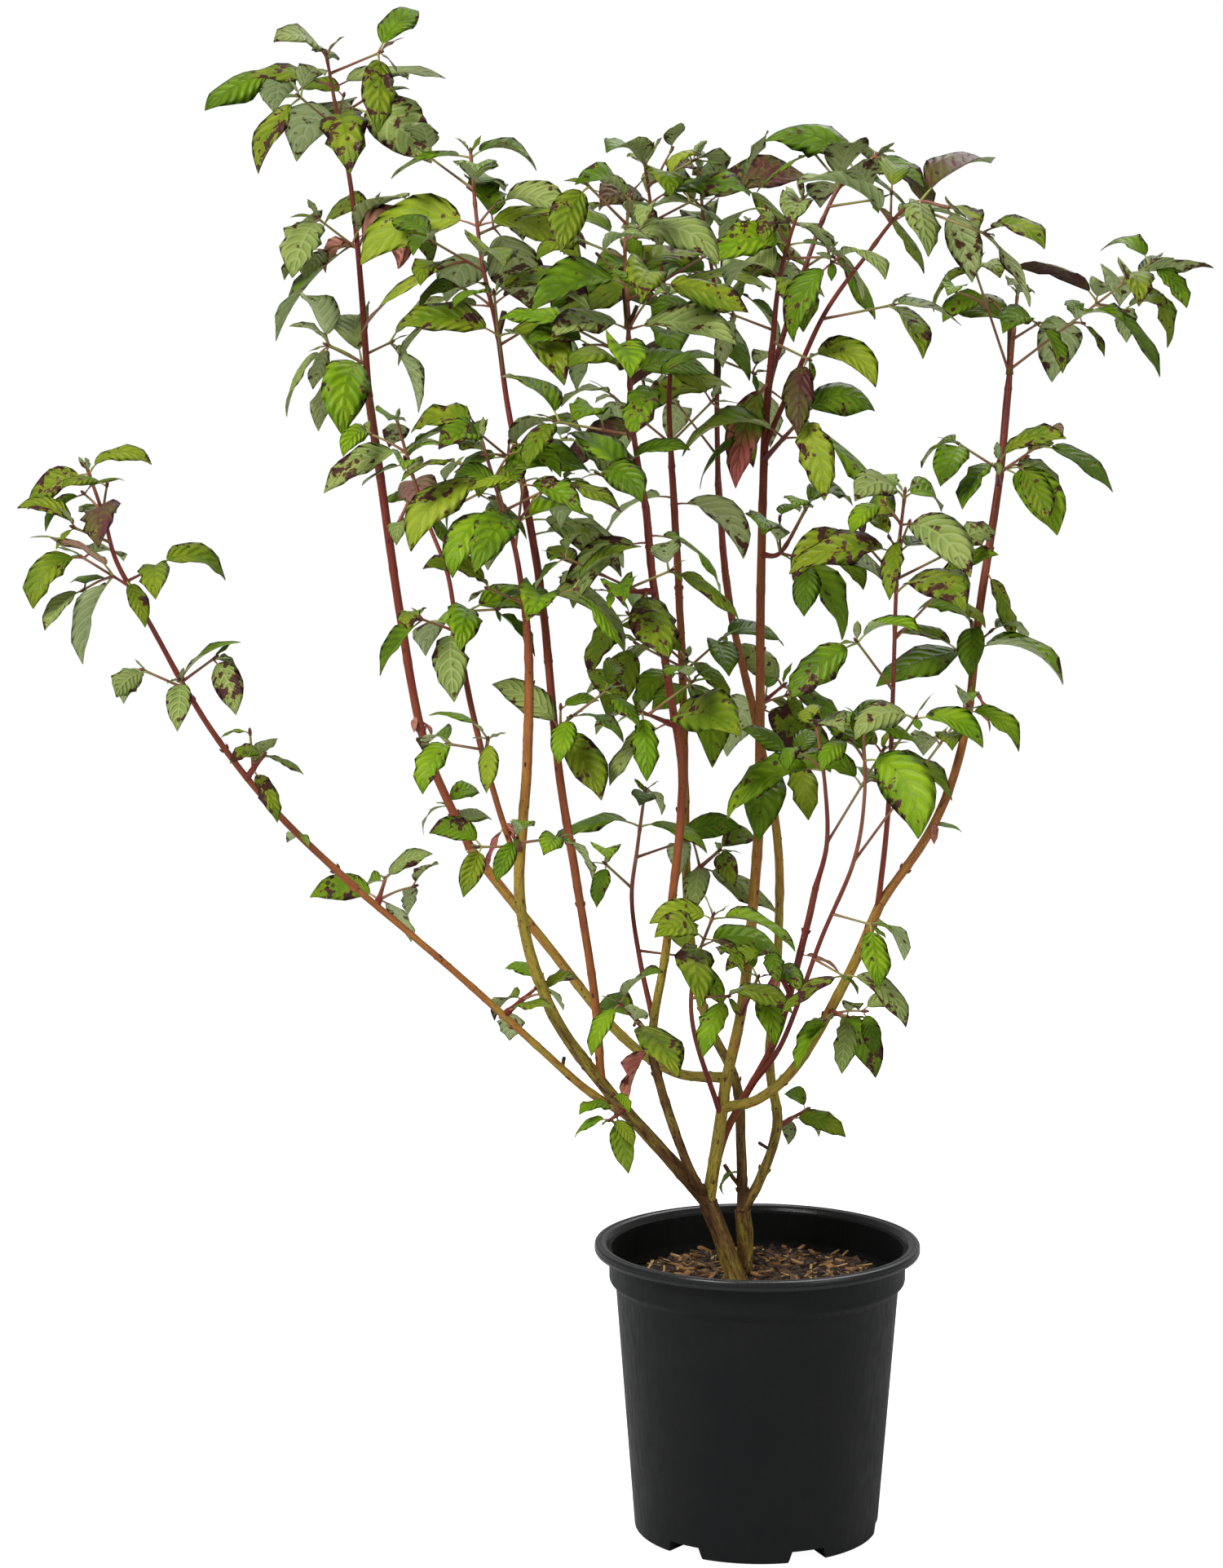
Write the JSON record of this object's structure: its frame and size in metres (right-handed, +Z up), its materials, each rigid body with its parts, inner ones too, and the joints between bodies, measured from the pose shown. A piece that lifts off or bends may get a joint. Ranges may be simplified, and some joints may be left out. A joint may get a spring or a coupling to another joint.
{
  "type": "potted shrub",
  "caption": "Young red-barked dogwood of the sibirica kind: two trunks that fork into slender arching stems with drooping leaves, in a black nursery pot.",
  "frame": {"origin": "centre of the flat underside of the pot, on the ground", "axes": "+Z up along the pot, the viewer of the picture at -Y, the low arching stem towards -X"},
  "size_m": [0.7872, 0.4013, 1.0684],
  "materials": {
    "pot_plastic": "satin black moulded plastic",
    "bark_mulch": "rough bark chips and fibre",
    "brown_bark": "older brown bark",
    "olive_bark": "smooth olive bark",
    "red_bark": "smooth red bark",
    "leaf": "soft green leaf with dark spots"
  },
  "bodies": {
    "root": {"pot": "pot_plastic", "soil": "bark_mulch", "trunk_left": "brown_bark", "trunk_right": "brown_bark", "bough_left_front": "olive_bark", "bough_middle": "olive_bark", "bough_left_inner": "red_bark", "bough_low_left": "olive_bark", "bough_low_left_tip": "red_bark", "bough_tall_left": "olive_bark", "bough_tall_left_tip": "red_bark", "bough_slim_left": "red_bark", "bough_far_right": "olive_bark", "bough_far_right_tip": "red_bark", "bough_centre_front": "brown_bark", "bough_centre_back": "olive_bark", "bough_right_back": "olive_bark", "bough_red_right": "red_bark", "leaves_tall_left_crown": "leaf", "leaves_tall_left_spur": "leaf", "leaves_tall_left_low": "leaf", "leaves_slim_left_crown": "leaf", "leaves_slim_left_low": "leaf", "leaves_left_front_crown": "leaf", "leaves_left_front_low": "leaf", "leaves_left_inner_crown": "leaf", "leaves_left_inner_low": "leaf", "leaves_centre_front_crown": "leaf", "leaves_centre_front_middle": "leaf", "leaves_centre_front_low": "leaf", "leaves_centre_front_base": "leaf", "leaves_slender_shoot": "leaf", "leaves_centre_back_crown": "leaf", "leaves_centre_back_middle": "leaf", "leaves_centre_back_low": "leaf", "leaves_right_back_crown": "leaf", "leaves_right_back_low": "leaf", "leaves_right_back_middle": "leaf", "leaves_middle_crown": "leaf", "leaves_middle_crown_right": "leaf", "leaves_right_arch_shoot": "leaf", "leaves_middle_high": "leaf", "leaves_middle_side": "leaf", "leaves_middle_low": "leaf", "leaves_dark_red_shoot": "leaf", "leaves_middle_base": "leaf", "leaves_far_right_crown": "leaf", "leaves_far_right_high": "leaf", "leaves_far_right_middle": "leaf", "leaves_upright_shoot": "leaf", "leaves_far_right_base": "leaf", "leaves_red_right_crown": "leaf", "leaves_red_right_low": "leaf", "leaves_red_right_shoot": "leaf", "leaves_low_left_crown": "leaf", "leaves_low_left_middle": "leaf", "leaves_low_left_spur": "leaf", "leaves_low_left_low": "leaf", "leaves_low_left_base": "leaf", "leaves_left_front_base": "leaf"}
  },
  "joints": []
}
